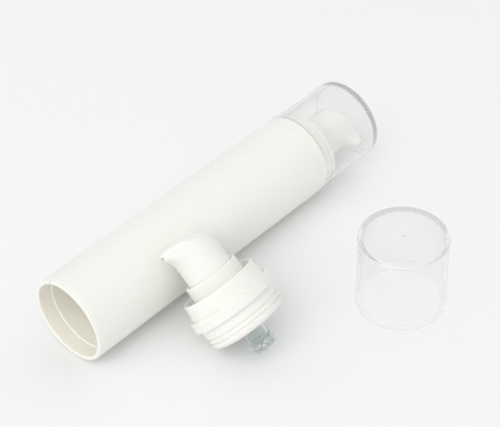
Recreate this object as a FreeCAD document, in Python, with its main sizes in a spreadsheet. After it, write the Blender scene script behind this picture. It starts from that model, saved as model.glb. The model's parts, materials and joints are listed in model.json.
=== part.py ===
import FreeCAD
import Part
import Sketcher
import math
import os
from types import SimpleNamespace

# Airless pump bottle, lying on its side with its pump and clear overcap fitted, beside a second
# pump that leans on the bottle and a second overcap that stands on its mouth.
# Millimetres, +Z up, +X along the bottle from its open bottom end to the overcap's closed end.
# The origin is on the floor, under the middle of the whole set.

DIMENSIONS = {
    # Bottle tube
    "bottle_radius": 16.0,
    "bottle_length": 110.4,
    "bottle_wall": 1.9,
    "neck_wall": 1.65,
    "neck_spare_depth": 0.6,
    "mouth_wall": 1.6,
    "mouth_depth": 5.6,
    "rim_step": 0.2,
    "rim_step_height": 1.2,
    "rim_rounding": 0.4,
    "vent_width": 0.9,
    "vent_depth": 1.0,
    "vent_angle": 65.0,
    # Follower piston
    "follower_station": 26.0,
    "follower_clearance": 0.05,
    "follower_lip_height": 1.2,
    "follower_lip_relief": 0.7,
    "follower_wall": 0.9,
    "follower_foot": 1.6,
    "follower_well_clearance": 0.5,
    # Collar
    "flange_setback": 0.15,
    "flange_height": 4.1,
    "flange_bore_depth": 3.3,
    "band_rise": 5.7,
    "band_draft": 0.5,
    "band_wall": 0.9,
    "dish_depth": 2.0,
    "dish_wall": 1.2,
    "tower_rise": 4.4,
    "tower_wall": 1.3,
    "tower_rounding": 0.45,
    "edge_rounding": 0.3,
    "bead_proud": 0.28,
    "bead_height": 1.2,
    "bead_lift": 1.4,
    "bead_sweep": 18.0,
    "bead_count": 3,
    "bead_angle": 33.5,
    # Ribbed pump seat
    "plug_clearance": 0.05,
    "plug_depth": 8.3,
    "plug_rounding": 2.2,
    "plug_ring_rounding": 0.25,
    "plug_wall": 2.5,
    "plug_groove_cut": 0.5,
    "plug_groove_width": 0.7,
    "plug_upper_ring": 3.5,
    "plug_middle_ring": 1.1,
    "seat_deck": 1.6,
    "seat_ring_wall": 1.6,
    "seat_ring_height": 3.2,
    "seat_fit": 0.05,
    "sleeve_wall": 1.1,
    "sleeve_length": 6.0,
    # Pump chamber, inlet and seals
    "chamber_bore": 3.4,
    "chamber_wall": 0.75,
    "chamber_reach": 9.05,
    "chamber_floor": 0.8,
    "chamber_port": 0.6,
    "chamber_flange": 4.25,
    "chamber_flange_height": 1.2,
    "gasket_height": 0.8,
    "gasket_margin": 0.15,
    "inlet_radius": 4.8,
    "inlet_height": 3.6,
    "inlet_port": 0.5,
    "inlet_port_height": 0.6,
    "inlet_rounding": 0.3,
    "ball_radius": 0.8,
    "ball_clearance": 0.3,
    "ball_gap": 0.02,
    "lock_ring_height": 1.4,
    "lock_ring_gap": 1.65,
    "lock_boss_wall": 1.1,
    "lock_boss_height": 1.6,
    "lock_lip": 1.0,
    # Plunger
    "stroke": 5.0,
    "floor_gap": 0.1,
    "stem_radius": 1.7,
    "stem_bore": 1.0,
    "stem_top": 4.8,
    "stem_shoulder": 2.4,
    "stem_port": 0.4,
    "running_clearance": 0.05,
    "stop_gap": 0.1,
    "piston_height": 4.0,
    "piston_lip_height": 0.8,
    "piston_relief": 0.5,
    "pin_head_height": 0.7,
    "pin_length": 1.2,
    # Return spring
    "spring_wire": 0.7,
    "spring_clearance": 0.3,
    "spring_seat_gap": 0.05,
    "spring_turns": 6,
    # Actuator head
    "head_clearance": 0.25,
    "head_base_radius": 8.55,
    "head_top_radius": 8.0,
    "head_overlap": 2.2,
    "head_rise": 14.8,
    "head_slope_drop": 3.0,
    "head_dome": 2.3,
    "head_crown": 12.0,
    "head_wall": 1.2,
    "head_roof": 3.4,
    "head_rounding": 0.9,
    "hub_wall": 1.5,
    "hub_shoulder": 1.3,
    "hub_shoulder_rise": 1.8,
    "beak_reach": 11.8,
    "beak_tip_radius": 2.3,
    "beak_thickness": 2.4,
    "beak_depth": 6.0,
    "beak_seam": 0.06,
    "lip_roll_height": 0.75,
    "lip_roll_reach": 0.35,
    "nozzle_radius": 0.7,
    "nozzle_rise": 2.6,
    "nozzle_drop": 1.25,
    # Overcap
    "cap_wall": 1.45,
    "cap_ceiling": 1.5,
    "cap_headroom": 2.8,
    "cap_fit": 0.25,
    "cap_mouth_step": 0.3,
    "cap_mouth_depth": 3.1,
    "cap_rim_height": 2.9,
    "cap_rim_step": 0.1,
    "cap_draft": 0.15,
    "cap_edge_rounding": 0.45,
    "cap_inner_rounding": 0.8,
    "cap_gate_radius": 0.9,
    "cap_gate_depth": 0.2,
    # Arrangement on the floor
    "fitted_beak_dip": 18.6,
    "spare_pump_station": 42.7,
    "spare_pump_heading": 94.3,
    "lean_clearance": 0.3,
    "spare_cap_station": 94.6,
    "spare_cap_offset": 66.9,
}

MATCH = 1e-4
FULL_TURN = 360.0
FLARE_SHARES = (0.0, 0.25, 0.5, 0.75, 1.0)
ROLL_SHARES = (0.35, 0.7, 1.0)
COIL_STEPS_PER_TURN = 4
LEAN_STEPS = 8


class Size:
    """A length with its value and the sheet expression that gives it."""

    def __init__(self, value, text):
        self.value = value
        self.text = text

    def __add__(self, other):
        return joined(self, other, "+", lambda a, b: a + b)

    def __radd__(self, other):
        return joined(other, self, "+", lambda a, b: a + b)

    def __sub__(self, other):
        return joined(self, other, "-", lambda a, b: a - b)

    def __rsub__(self, other):
        return joined(other, self, "-", lambda a, b: a - b)

    def __mul__(self, other):
        return joined(self, other, "*", lambda a, b: a * b)

    def __rmul__(self, other):
        return joined(other, self, "*", lambda a, b: a * b)

    def __truediv__(self, other):
        return joined(self, other, "/", lambda a, b: a / b)

    def __neg__(self):
        return joined(0.0, self, "-", lambda a, b: a - b)


def as_size(item):
    """A plain number as a Size, or the Size itself."""
    if isinstance(item, Size):
        return item
    return Size(float(item), repr(float(item)))


def square_root(size):
    """The square root of a Size, in value and in text."""
    return Size(math.sqrt(size.value), f"sqrt({size.text})")


def joined(left, right, sign, work):
    """One Size out of two, in value and in text."""
    left = as_size(left)
    right = as_size(right)
    return Size(work(left.value, right.value), f"({left.text} {sign} {right.text})")


doc = FreeCAD.newDocument("airless_pump_bottle")
sheet = doc.addObject("Spreadsheet::Sheet", "dims")
for row, (alias, number) in enumerate(DIMENSIONS.items(), start=1):
    sheet.set(f"A{row}", alias)
    sheet.set(f"B{row}", str(number))
    sheet.setAlias(f"B{row}", alias)
doc.recompute()
d = SimpleNamespace(**{name: Size(number, f"dims.{name}") for name, number in DIMENSIONS.items()})

# Radii that follow from the bottle's outside
bore = d.bottle_radius - d.bottle_wall
neck_bore = d.bottle_radius - d.neck_wall
mouth_bore = d.bottle_radius - d.mouth_wall
rim_radius = d.bottle_radius - d.rim_step
flange_radius = d.bottle_radius - d.flange_setback
plug_radius = neck_bore - d.plug_clearance
cap_body_radius = d.bottle_radius - d.cap_rim_step
cap_bore = cap_body_radius - d.cap_wall
cap_mouth = cap_bore + d.cap_mouth_step
band_base_radius = cap_mouth - d.cap_fit
band_top_radius = band_base_radius - d.band_draft
band_bore = band_top_radius - d.band_wall
flange_bore = band_bore + d.flange_setback
seat_ring_radius = flange_bore - d.seat_fit
seat_ring_bore = seat_ring_radius - d.seat_ring_wall
lock_ring_radius = seat_ring_bore - d.lock_ring_gap

# Radii that follow from the head and from the chamber
tower_bore = d.head_base_radius + d.head_clearance
tower_radius = tower_bore + d.tower_wall
chamber_radius = d.chamber_bore + d.chamber_wall
chamber_flange_radius = chamber_radius + d.chamber_flange
sleeve_bore = chamber_radius + d.seat_fit
ball_cage = d.ball_radius + d.ball_clearance
stem_hole = d.stem_radius + d.running_clearance
piston_bore = d.stem_radius + d.running_clearance
piston_lip = d.chamber_bore - d.running_clearance
pin_radius = d.stem_bore - d.running_clearance
socket_radius = d.stem_radius + d.running_clearance
hub_radius = socket_radius + d.hub_wall

# Heights along the pump, from the flange's underside towards the head
band_top = d.flange_height + d.band_rise
dish_floor = band_top - d.dish_depth
tower_top = band_top + d.tower_rise
head_bottom = tower_top - d.head_overlap
head_top = tower_top + d.head_rise
gasket_top = d.gasket_height
chamber_top = gasket_top + d.chamber_flange_height
stack_top = chamber_top + d.lock_ring_height
lock_lip_bottom = chamber_top - d.lock_lip
tip = -(d.plug_depth + d.chamber_reach)
inlet_top = tip + d.inlet_height
chamber_end = inlet_top - d.chamber_floor
chamber_inner_floor = chamber_end + d.chamber_floor
pin_bottom = chamber_inner_floor + d.floor_gap + d.stroke
piston_bottom = pin_bottom + d.pin_head_height
piston_top = piston_bottom + d.piston_height
stem_shoulder_top = lock_lip_bottom - d.stop_gap
stem_top = tower_top + d.stem_top
spring_bottom = stack_top
spring_top = tower_top + d.hub_shoulder_rise
spring_coil_radius = hub_radius + d.spring_clearance + d.spring_wire / 2
cavity_top = head_top - d.head_slope_drop - d.head_roof
lip_top = head_top - d.beak_thickness + d.lip_roll_height
lip_height = lip_top - d.lip_roll_height
root_height = lip_height - d.beak_depth
nozzle_end = head_top - d.nozzle_drop
nozzle_start = nozzle_end - d.nozzle_rise
socket_top = stem_top + d.stop_gap
cap_height = head_top + d.cap_headroom + d.cap_ceiling - d.flange_height
follower_well = d.chamber_reach + d.follower_well_clearance
follower_height = follower_well + d.follower_wall + d.follower_foot


def origin_part(body, role):
    """The body's own origin plane or axis of that role."""
    return next(item for item in body.Origin.OriginFeatures if item.Role == role)


def new_sketch(body, name, plane, lift=None):
    """An empty sketch on one of the body's origin planes, raised by lift."""
    sketch = body.newObject("Sketcher::SketchObject", name)
    sketch.AttachmentSupport = [(origin_part(body, plane), "")]
    sketch.MapMode = "FlatFace"
    if lift is not None:
        sketch.setExpression("AttachmentOffset.Base.z", lift.text)
    return sketch


def tie(sketch, kind, size, *ends):
    """Add a dimension to a sketch and bind it to the sheet."""
    index = sketch.addConstraint(Sketcher.Constraint(kind, *ends, size.value))
    sketch.setExpression(f"Constraints[{index}]", size.text)


def tie_point(sketch, geometry, x, y):
    """Bind the start point of a sketch line to the sheet."""
    if abs(x.value) < MATCH:
        sketch.addConstraint(Sketcher.Constraint("PointOnObject", geometry, 1, -2))
    else:
        tie(sketch, "DistanceX", x, -1, 1, geometry, 1)
    if abs(y.value) < MATCH:
        sketch.addConstraint(Sketcher.Constraint("PointOnObject", geometry, 1, -1))
    else:
        tie(sketch, "DistanceY", y, -1, 1, geometry, 1)


def outline(body, name, plane, points, lift=None):
    """A closed straight-sided outline through points bound to the sheet."""
    sketch = new_sketch(body, name, plane, lift)
    pairs = [(as_size(x), as_size(y)) for x, y in points]
    corners = [FreeCAD.Vector(x.value, y.value, 0) for x, y in pairs]
    count = len(corners)
    for index in range(count):
        sketch.addGeometry(Part.LineSegment(corners[index], corners[(index + 1) % count]), False)
    for index in range(count):
        sketch.addConstraint(Sketcher.Constraint("Coincident", index, 2, (index + 1) % count, 1))
    for index, (x, y) in enumerate(pairs):
        tie_point(sketch, index, x, y)
    return sketch


def turn(body, sketch, name, kind="PartDesign::Revolution", axis="V_Axis"):
    """Turn a sketch about an axis of its own into a full ring."""
    feature = body.newObject(kind, name)
    feature.Profile = sketch
    feature.ReferenceAxis = (sketch, [axis])
    feature.Angle = FULL_TURN
    doc.recompute()
    return feature


def round_rings(body, feature, name, radius, rings):
    """Round the circular edges of a turned feature at the given radius and height."""
    picked = []
    for number, edge in enumerate(feature.Shape.Edges, start=1):
        if not isinstance(edge.Curve, Part.Circle):
            continue
        for ring, height in rings:
            same_size = abs(edge.Curve.Radius - ring.value) < MATCH
            same_height = abs(edge.Curve.Center.z - as_size(height).value) < MATCH
            if same_size and same_height:
                picked.append(f"Edge{number}")
    return round_edges(body, feature, name, radius, picked)


def round_edges(body, feature, name, radius, picked):
    """Round the named edges of a feature."""
    if not picked:
        raise RuntimeError(f"{name} has no edge to round")
    fillet = body.newObject("PartDesign::Fillet", name)
    fillet.Base = (feature, picked)
    fillet.setExpression("Radius", radius.text)
    doc.recompute()
    return fillet


def cut_checked(feature, before):
    """Stop where a cut took nothing away."""
    doc.recompute()
    if feature.Shape.Volume >= before - MATCH:
        raise RuntimeError(f"{feature.Label} cuts nothing")


def new_body(label):
    """An empty body under the node's name."""
    body = doc.addObject("PartDesign::Body", label)
    body.Label = label
    return body


def turned_body(label, points):
    """A body made by turning one outline about its own Z axis."""
    body = new_body(label)
    ring = turn(body, outline(body, f"{label}_outline", "XZ_Plane", points), f"{label}_turned")
    return body, ring


def bottle_tube(label):
    """Straight tube, open at both ends, with a stepped mouth and a vent notch in its rim."""
    step = mouth_bore - bore
    neck_floor = d.bottle_length - d.plug_depth - d.neck_spare_depth
    body, ring = turned_body(label, [
        (mouth_bore, 0), (rim_radius, 0), (rim_radius, d.rim_step_height),
        (d.bottle_radius, d.rim_step_height), (d.bottle_radius, d.bottle_length),
        (neck_bore, d.bottle_length), (neck_bore, neck_floor), (bore, neck_floor - (neck_bore - bore)),
        (bore, d.mouth_depth + step), (mouth_bore, d.mouth_depth)])
    rounded = round_rings(body, ring, f"{label}_rim", d.rim_rounding, [(mouth_bore, 0), (rim_radius, 0)])
    half = d.vent_width / 2
    slot = outline(body, f"{label}_vent_outline", "XY_Plane", [
        (mouth_bore - d.vent_width, -half), (d.bottle_radius + d.vent_width, -half),
        (d.bottle_radius + d.vent_width, half), (mouth_bore - d.vent_width, half)])
    vent = body.newObject("PartDesign::Pocket", f"{label}_vent")
    vent.Profile = slot
    vent.Reversed = True
    vent.setExpression("Length", d.vent_depth.text)
    cut_checked(vent, rounded.Shape.Volume)
    return body


def follower_piston(label):
    """Cup that follows the contents up the bore, with a lip at each end and a well for the inlet."""
    lip = bore - d.follower_clearance
    side = lip - d.follower_lip_relief
    skirt_bore = side - d.follower_wall
    well = d.inlet_radius + d.follower_well_clearance
    deck = follower_height - d.follower_wall
    well_floor = follower_height - follower_well
    slope = d.follower_lip_height + d.follower_lip_relief
    return turned_body(label, [
        (skirt_bore, 0), (lip, 0), (lip, d.follower_lip_height), (side, slope),
        (side, follower_height - slope), (lip, follower_height - d.follower_lip_height),
        (lip, follower_height), (well, follower_height), (well, well_floor), (0, well_floor),
        (0, well_floor - d.follower_wall), (well + d.follower_wall, well_floor - d.follower_wall),
        (well + d.follower_wall, deck), (skirt_bore, deck)])[0]


def overcap(label):
    """Clear cup with a rim band, a stepped mouth and a gate mark in the middle of its end."""
    top_radius = cap_body_radius - d.cap_draft
    ceiling_radius = cap_bore - d.cap_draft
    ceiling = cap_height - d.cap_ceiling
    body, ring = turned_body(label, [
        (cap_mouth, 0), (d.bottle_radius, 0), (d.bottle_radius, d.cap_rim_height),
        (cap_body_radius, d.cap_rim_height + d.cap_rim_step), (top_radius, cap_height),
        (d.cap_gate_radius, cap_height), (d.cap_gate_radius, cap_height - d.cap_gate_depth),
        (0, cap_height - d.cap_gate_depth), (0, ceiling), (ceiling_radius, ceiling),
        (cap_bore, d.cap_mouth_depth + d.cap_mouth_step), (cap_mouth, d.cap_mouth_depth)])
    edge = round_rings(body, ring, f"{label}_edge", d.cap_edge_rounding, [(top_radius, cap_height)])
    round_rings(body, edge, f"{label}_corner", d.cap_inner_rounding, [(ceiling_radius, ceiling)])
    return body


def collar(label):
    """Flange, drafted band with snap beads, open dish and the tower that guides the head."""
    body, ring = turned_body(label, [
        (flange_bore, 0), (flange_radius, 0), (flange_radius, d.flange_height),
        (band_base_radius, d.flange_height), (band_top_radius, band_top), (band_bore, band_top),
        (band_bore, dish_floor), (tower_radius, dish_floor), (tower_radius, tower_top),
        (tower_bore, tower_top), (tower_bore, stack_top), (tower_radius, stack_top),
        (tower_radius, dish_floor - d.dish_wall), (band_bore, dish_floor - d.dish_wall),
        (band_bore, d.flange_bore_depth), (flange_bore, d.flange_bore_depth)])
    crown = round_rings(body, ring, f"{label}_crown", d.tower_rounding,
                        [(tower_radius, tower_top), (tower_bore, tower_top)])
    round_rings(body, crown, f"{label}_edges", d.edge_rounding,
                [(flange_radius, 0), (flange_radius, d.flange_height),
                 (band_top_radius, band_top), (band_bore, band_top)])
    bead_bottom = d.flange_height + d.bead_lift
    bead_top = bead_bottom + d.bead_height
    bead_root = band_top_radius - d.band_wall / 2
    bead_face = band_base_radius - d.band_draft * d.bead_lift / d.band_rise + d.bead_proud
    section = outline(body, f"{label}_bead_outline", "XZ_Plane", [
        (bead_root, bead_bottom), (bead_face, bead_bottom),
        (bead_face - d.bead_proud, bead_top), (bead_root, bead_top)])
    bead = body.newObject("PartDesign::Revolution", f"{label}_bead")
    bead.Profile = section
    bead.ReferenceAxis = (section, ["V_Axis"])
    bead.Midplane = True
    bead.setExpression("Angle", d.bead_sweep.text)
    doc.recompute()
    ring_of_beads = body.newObject("PartDesign::PolarPattern", f"{label}_beads")
    ring_of_beads.Originals = [bead]
    ring_of_beads.Axis = (origin_part(body, "Z_Axis"), [""])
    ring_of_beads.Angle = FULL_TURN
    ring_of_beads.setExpression("Occurrences", d.bead_count.text)
    body.Tip = ring_of_beads
    doc.recompute()
    return body


def pump_seat(label):
    """Ribbed plug that snaps into the bottle's neck, with a deck and a sleeve for the chamber."""
    groove_radius = plug_radius - d.plug_groove_cut
    first = -d.plug_upper_ring
    second = first - d.plug_groove_width - d.plug_middle_ring
    skirt_bore = plug_radius - d.plug_wall
    sleeve_radius = sleeve_bore + d.sleeve_wall
    body, ring = turned_body(label, [
        (seat_ring_bore, d.seat_ring_height), (seat_ring_radius, d.seat_ring_height),
        (seat_ring_radius, 0),
        (plug_radius, 0), (plug_radius, first), (groove_radius, first),
        (groove_radius, first - d.plug_groove_width), (plug_radius, first - d.plug_groove_width),
        (plug_radius, second), (groove_radius, second), (groove_radius, second - d.plug_groove_width),
        (plug_radius, second - d.plug_groove_width), (plug_radius, -d.plug_depth),
        (skirt_bore, -d.plug_depth), (skirt_bore, -d.seat_deck), (sleeve_radius, -d.seat_deck),
        (sleeve_radius, -d.sleeve_length), (sleeve_bore, -d.sleeve_length), (sleeve_bore, 0),
        (seat_ring_bore, 0)])
    lead_in = round_rings(body, ring, f"{label}_lead_in", d.plug_rounding, [(plug_radius, -d.plug_depth)])
    round_rings(body, lead_in, f"{label}_rings", d.plug_ring_rounding,
                [(plug_radius, first), (plug_radius, first - d.plug_groove_width),
                 (plug_radius, second), (plug_radius, second - d.plug_groove_width)])
    return body


def gasket(label):
    """Flat sealing ring between the seat's deck and the chamber's flange."""
    outer = chamber_flange_radius - d.gasket_margin
    inner = chamber_radius + d.gasket_margin
    return turned_body(label, [(inner, 0), (outer, 0), (outer, gasket_top), (inner, gasket_top)])[0]


def chamber(label):
    """Pump cylinder with a top flange and a ported floor."""
    return turned_body(label, [
        (d.chamber_bore, chamber_top), (chamber_flange_radius, chamber_top),
        (chamber_flange_radius, gasket_top), (chamber_radius, gasket_top),
        (chamber_radius, chamber_end), (d.chamber_port, chamber_end),
        (d.chamber_port, chamber_inner_floor), (d.chamber_bore, chamber_inner_floor)])[0]


def inlet_seat(label):
    """Foot of the chamber, with the cage and the conical seat of the inlet ball."""
    port_top = tip + d.inlet_port_height
    cone = ball_cage - d.inlet_port
    body, ring = turned_body(label, [
        (d.inlet_port, tip), (d.inlet_radius, tip), (d.inlet_radius, inlet_top),
        (sleeve_bore, inlet_top), (sleeve_bore, chamber_end), (ball_cage, chamber_end),
        (ball_cage, port_top + cone), (d.inlet_port, port_top)])
    round_rings(body, ring, f"{label}_edge", d.inlet_rounding, [(d.inlet_radius, tip)])
    return body


def lock_ring(label):
    """Ring that closes the chamber, guides the stem and carries the spring."""
    boss = stem_hole + d.running_clearance + d.lock_boss_wall
    hole = stem_hole + d.running_clearance
    lip = d.chamber_bore - d.running_clearance
    return turned_body(label, [
        (hole, stack_top + d.lock_boss_height), (boss, stack_top + d.lock_boss_height),
        (boss, stack_top), (lock_ring_radius, stack_top), (lock_ring_radius, chamber_top),
        (lip, chamber_top), (lip, lock_lip_bottom), (hole, lock_lip_bottom)])[0]


def stem(label):
    """Hollow stem with a stop shoulder and cross ports behind the piston."""
    foot = piston_bottom + d.stop_gap
    body, ring = turned_body(label, [
        (d.stem_bore, foot), (d.stem_radius, foot), (d.stem_radius, piston_top),
        (d.stem_shoulder, piston_top), (d.stem_shoulder, stem_shoulder_top),
        (d.stem_radius, stem_shoulder_top), (d.stem_radius, stem_top), (d.stem_bore, stem_top)])
    port = new_sketch(body, f"{label}_port_outline", "XZ_Plane")
    height = (piston_bottom + piston_top) / 2 + d.stem_port
    port.addGeometry(Part.Circle(FreeCAD.Vector(0, height.value, 0), FreeCAD.Vector(0, 0, 1),
                                 d.stem_port.value), False)
    port.addConstraint(Sketcher.Constraint("PointOnObject", 0, 3, -2))
    tie(port, "DistanceY", height, -1, 1, 0, 3)
    tie(port, "Radius", d.stem_port, 0)
    ports = body.newObject("PartDesign::Pocket", f"{label}_ports")
    ports.Profile = port
    ports.SideType = "Symmetric"
    ports.Type = "ThroughAll"
    cut_checked(ports, ring.Shape.Volume)
    return body


def pump_piston(label):
    """Sleeve piston with a sealing lip at each end."""
    waist = piston_lip - d.piston_relief
    low = piston_bottom + d.piston_lip_height
    high = piston_top - d.piston_lip_height
    return turned_body(label, [
        (piston_bore, piston_bottom), (piston_lip, piston_bottom), (piston_lip, low),
        (waist, low + d.piston_relief), (waist, high - d.piston_relief), (piston_lip, high),
        (piston_lip, piston_top), (piston_bore, piston_top)])[0]


def valve_pin(label):
    """Headed pin that closes the stem's lower end and carries the piston."""
    return turned_body(label, [
        (0, pin_bottom), (d.stem_shoulder, pin_bottom), (d.stem_shoulder, piston_bottom),
        (pin_radius, piston_bottom), (pin_radius, piston_bottom + d.pin_length),
        (0, piston_bottom + d.pin_length)])[0]


def inlet_ball(label):
    """Ball of the inlet valve, resting on the conical seat."""
    ball = doc.addObject("Part::Sphere", label)
    ball.Label = label
    ball.setExpression("Radius", d.ball_radius.text)
    return ball


def ball_height():
    """Height of the ball's centre over the flange's underside, with the ball on its cone."""
    apex = (tip + d.inlet_port_height - d.inlet_port).value
    return apex + (d.ball_radius + d.ball_gap).value * math.sqrt(2)


def biarc(start, start_way, end, end_way):
    """Two arcs with a common tangent from one point and direction to another."""
    chord = end - start
    ways = start_way + end_way
    a = 2 * (1 - start_way.dot(end_way))
    b = 2 * chord.dot(ways)
    c = -chord.dot(chord)
    reach = (-b + math.sqrt(b * b - 4 * a * c)) / (2 * a)
    low = start + start_way * reach
    high = end - end_way * reach
    middle = (low + high) * 0.5
    return [tangent_arc(start, start_way, middle), tangent_arc(middle, high - middle, end)]


def tangent_arc(start, way, end):
    """The arc from start to end that leaves start along way."""
    chord = end - start
    way = FreeCAD.Vector(way).normalize()
    square = chord - way * chord.dot(way)
    radius = chord.dot(chord) / (2 * square.Length)
    centre = start + square.normalize() * radius
    out = (start + end) * 0.5 - centre
    crown = centre + out.normalize() * radius
    return Part.Arc(start, crown, end)


def return_spring(label):
    """Coil round the stem from the lock ring up to the head's shoulder."""
    wire = d.spring_wire.value
    radius = spring_coil_radius.value
    low = (spring_bottom + d.spring_seat_gap).value + wire / 2
    high = (spring_top - d.spring_seat_gap).value - wire / 2
    turns = int(d.spring_turns.value)
    pitch = (high - low) / turns
    slope = pitch / (2 * math.pi)

    def spot(angle):
        return FreeCAD.Vector(radius * math.cos(angle), radius * math.sin(angle), low + slope * angle)

    def way(angle):
        return FreeCAD.Vector(-radius * math.sin(angle), radius * math.cos(angle), slope).normalize()

    step = 2 * math.pi / COIL_STEPS_PER_TURN
    edges = []
    for index in range(turns * COIL_STEPS_PER_TURN):
        begin = index * step
        for arc in biarc(spot(begin), way(begin), spot(begin + step), way(begin + step)):
            edges.append(arc.toShape())
    section = Part.Wire([Part.Circle(spot(0.0), way(0.0), wire / 2).toShape()])
    coil = doc.addObject("Part::Feature", label)
    coil.Label = label
    coil.Shape = Part.Wire(edges).makePipeShell([section], True, False)
    turn_gap = pitch * math.cos(math.atan(slope / radius)) - wire
    print(f"{label}: least gap between turns {turn_gap:.2f} mm")
    return coil


def beak_section(body, name, height, radius, reach):
    """A round section drawn out to one side: a wide arc, two tangent flanks and a tip arc."""
    flank = (d.head_top_radius - d.beak_tip_radius) / (d.beak_reach - d.beak_tip_radius)
    tip_radius = (radius - reach * flank) / (1 - flank)
    tip_centre = reach - tip_radius
    lean = math.acos(flank.value)
    sketch = new_sketch(body, name, "XY_Plane", height)
    centres = (FreeCAD.Vector(0, 0, 0), FreeCAD.Vector(tip_centre.value, 0, 0))
    radii = (radius.value, tip_radius.value)
    upright = FreeCAD.Vector(0, 0, 1)
    wide = Part.Circle(centres[0], upright, radii[0])
    narrow = Part.Circle(centres[1], upright, radii[1])
    sides = [[centre + FreeCAD.Vector(math.cos(way), math.sin(way), 0) * size
              for centre, size in zip(centres, radii)] for way in (lean, -lean)]
    sketch.addGeometry(Part.ArcOfCircle(wide, lean, 2 * math.pi - lean), False)
    sketch.addGeometry(Part.LineSegment(sides[1][0], sides[1][1]), False)
    sketch.addGeometry(Part.ArcOfCircle(narrow, -lean, lean), False)
    sketch.addGeometry(Part.LineSegment(sides[0][1], sides[0][0]), False)
    sketch.addConstraint(Sketcher.Constraint("Coincident", 0, 3, -1, 1))
    sketch.addConstraint(Sketcher.Constraint("PointOnObject", 2, 3, -1))
    for index in range(4):
        sketch.addConstraint(Sketcher.Constraint("Tangent", index, 2, (index + 1) % 4, 1))
    tie(sketch, "Radius", radius, 0)
    tie(sketch, "Radius", tip_radius, 2)
    tie(sketch, "DistanceX", tip_centre, -1, 1, 2, 3)
    return sketch


def drawn_head(body, label):
    """The head's outside below its top: drafted barrel, concave flare, rolled lip and beak tip."""
    draft = (d.head_base_radius - d.head_top_radius) / (head_top - head_bottom)

    def barrel(height):
        return d.head_base_radius - draft * (height - head_bottom)

    flare_reach = d.beak_reach - d.lip_roll_reach
    stations = [(head_bottom, barrel(head_bottom) + d.beak_seam)]
    for share in FLARE_SHARES:
        height = root_height + d.beak_depth * share
        start = barrel(height) + d.beak_seam
        stations.append((height, start + (flare_reach - start) * (share * share)))
    for share in ROLL_SHARES:
        grown = 1 - (1 - share) ** 2
        stations.append((lip_height + d.lip_roll_height * share, flare_reach + d.lip_roll_reach * grown))
    stations.append((head_top + d.beak_thickness, d.beak_reach))
    sections = [beak_section(body, f"{label}_section_{number}", height, barrel(height), reach)
                for number, (height, reach) in enumerate(stations)]
    doc.recompute()
    lip = len(FLARE_SHARES)
    stacks = (("barrel", sections[:2], True), ("flare", sections[1:lip + 1], False),
              ("lip", sections[lip:-1], False), ("tip", sections[-2:], True))
    for name, stack, ruled in stacks:
        loft = body.newObject("PartDesign::AdditiveLoft", f"{label}_{name}")
        loft.Profile = stack[0]
        loft.Sections = stack[1:]
        loft.Ruled = ruled
        doc.recompute()
    return loft


def domed_top(body, label, loft):
    """Trim the head to its top, domed along the beak and crowned across it, and round the edge."""
    back = -(d.head_base_radius + d.head_wall)
    front = d.beak_reach + d.head_wall
    above = head_top + d.beak_thickness * 3
    run = d.beak_reach + d.head_top_radius
    chord = square_root(run * run + d.head_slope_drop * d.head_slope_drop)
    radius = (chord * chord / 4 + d.head_dome * d.head_dome) / (d.head_dome * 2)
    depth = (radius - d.head_dome) / chord
    centre_x = (d.beak_reach - d.head_top_radius) / 2 + d.head_slope_drop * depth
    centre_z = head_top - d.head_slope_drop / 2 - run * depth
    apex = centre_z + radius
    centre = FreeCAD.Vector(centre_x.value, centre_z.value, 0)
    rim_way = [math.acos((x - centre_x).value / radius.value) for x in (front, back)]
    ends = [centre + FreeCAD.Vector(math.cos(way), math.sin(way), 0) * radius.value for way in rim_way]
    corners = [FreeCAD.Vector(x.value, above.value, 0) for x in (back, front)]
    axis = [FreeCAD.Vector(x.value, (apex - d.head_crown).value, 0) for x in (back, front)]
    trim = new_sketch(body, f"{label}_top_outline", "XZ_Plane")
    circle = Part.Circle(centre, FreeCAD.Vector(0, 0, 1), radius.value)
    trim.addGeometry(Part.ArcOfCircle(circle, *rim_way), False)
    for first, second in ((ends[1], corners[0]), (corners[0], corners[1]), (corners[1], ends[0])):
        trim.addGeometry(Part.LineSegment(first, second), False)
    trim.addGeometry(Part.LineSegment(*axis), True)
    for index in range(4):
        trim.addConstraint(Sketcher.Constraint("Coincident", index, 2, (index + 1) % 4, 1))
    tie(trim, "Radius", radius, 0)
    tie(trim, "DistanceX", centre_x, -1, 1, 0, 3)
    tie(trim, "DistanceY", centre_z, -1, 1, 0, 3)
    for line, (x, y) in ((2, (back, above)), (3, (front, above)), (4, (back, apex - d.head_crown))):
        tie_point(trim, line, x, y)
    trim.addConstraint(Sketcher.Constraint("Vertical", 1))
    trim.addConstraint(Sketcher.Constraint("Vertical", 3))
    trim.addConstraint(Sketcher.Constraint("Horizontal", 4))
    tie(trim, "DistanceX", front, -1, 1, 4, 2)
    top = body.newObject("PartDesign::Groove", f"{label}_top")
    top.Profile = trim
    top.ReferenceAxis = (trim, ["Axis0"])
    top.Midplane = True
    top.Angle = FULL_TURN / 2
    cut_checked(top, loft.Shape.Volume)
    summit = Part.Vertex(centre_x.value, 0, apex.value)
    dome = next(face for face in top.Shape.Faces if face.distToShape(summit)[0] < MATCH)
    rim = [f"Edge{number}" for number, edge in enumerate(top.Shape.Edges, start=1)
           if any(edge.isSame(other) for other in dome.Edges)]
    return round_edges(body, top, f"{label}_top_edge", d.head_rounding, rim)


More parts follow.
